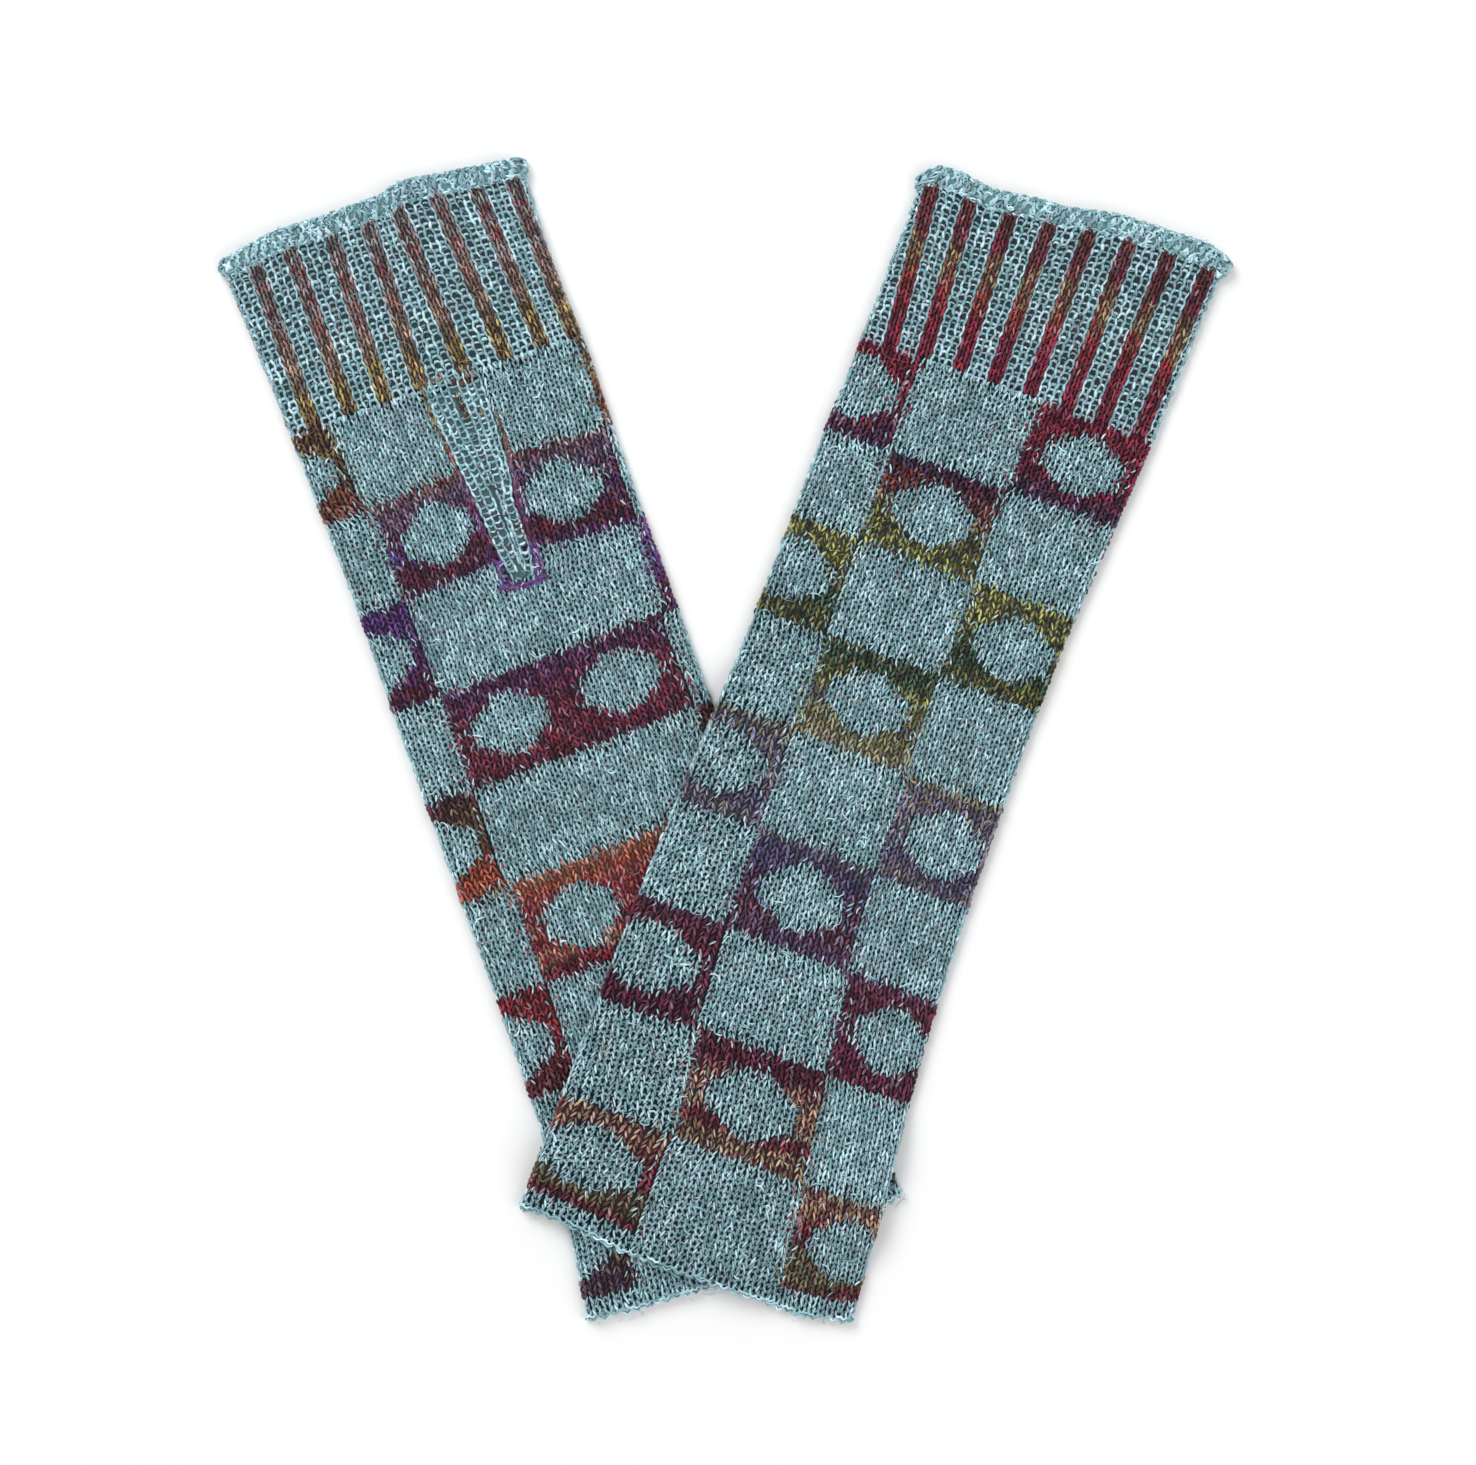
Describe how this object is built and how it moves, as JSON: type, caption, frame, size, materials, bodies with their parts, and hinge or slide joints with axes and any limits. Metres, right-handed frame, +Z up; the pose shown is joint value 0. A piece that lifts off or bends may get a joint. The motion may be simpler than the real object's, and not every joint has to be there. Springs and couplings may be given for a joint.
{
  "type": "pair of wrist warmers",
  "caption": "Pair of long fingerless knitted wrist warmers with ribbed rolled hand ends and thumb gussets, lying flat and crossed at their arm ends.",
  "frame": {"origin": "under the middle of the pair, on the surface it lies on", "axes": "+Z up from the surface, +Y towards the hand ends, +X towards the warmer that lies palm down"},
  "size_m": [0.3013, 0.3482, 0.009],
  "materials": {
    "left_knit": "matte fine wool knit, grey-teal ground with brown, violet and brick contrast stitches",
    "right_knit": "matte fine wool knit, grey-teal ground with crimson, olive, ochre and plum contrast stitches",
    "gusset_knit": "matte fine wool knit in grey-teal ladder rib"
  },
  "bodies": {
    "root": {"left_sleeve": "left_knit", "left_thumb_gusset": "gusset_knit", "right_sleeve": "right_knit", "right_thumb_gusset": "gusset_knit"}
  },
  "joints": []
}
